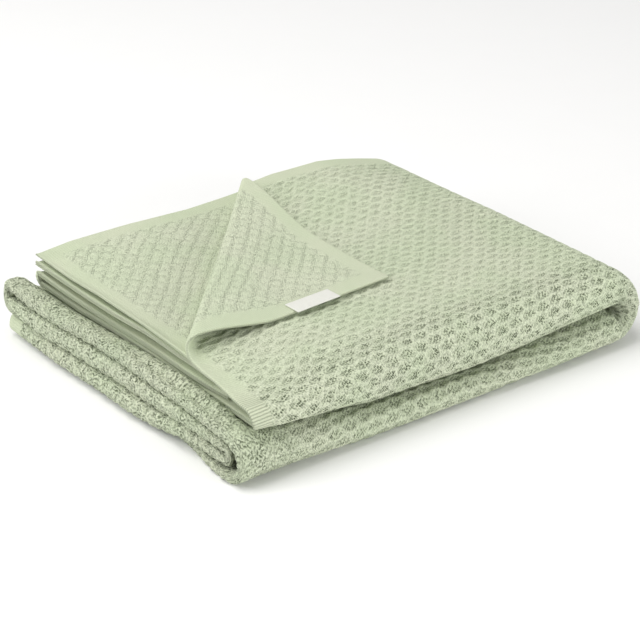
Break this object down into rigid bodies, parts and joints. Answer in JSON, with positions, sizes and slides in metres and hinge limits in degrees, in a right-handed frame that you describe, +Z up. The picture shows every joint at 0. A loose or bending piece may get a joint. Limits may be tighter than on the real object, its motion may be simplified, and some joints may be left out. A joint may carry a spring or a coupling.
{
  "type": "folded knitted crib blanket",
  "caption": "Honeycomb-knit cotton crib blanket folded to a flat pile, with the corner of its top leaf turned back and a small bare label on its border.",
  "frame": {"origin": "under the middle of the folded pile, on the surface that it lies on", "axes": "+Z up; +X from the free leaf ends to the last fold; +Y from the front rolls to the back edges"},
  "size_m": [0.247, 0.1976, 0.0505],
  "materials": {
    "knit": "matte sage green cotton, honeycomb knit",
    "label_tape": "plain white woven tape"
  },
  "bodies": {
    "root": {"blanket": "knit", "label": "label_tape"}
  },
  "joints": []
}
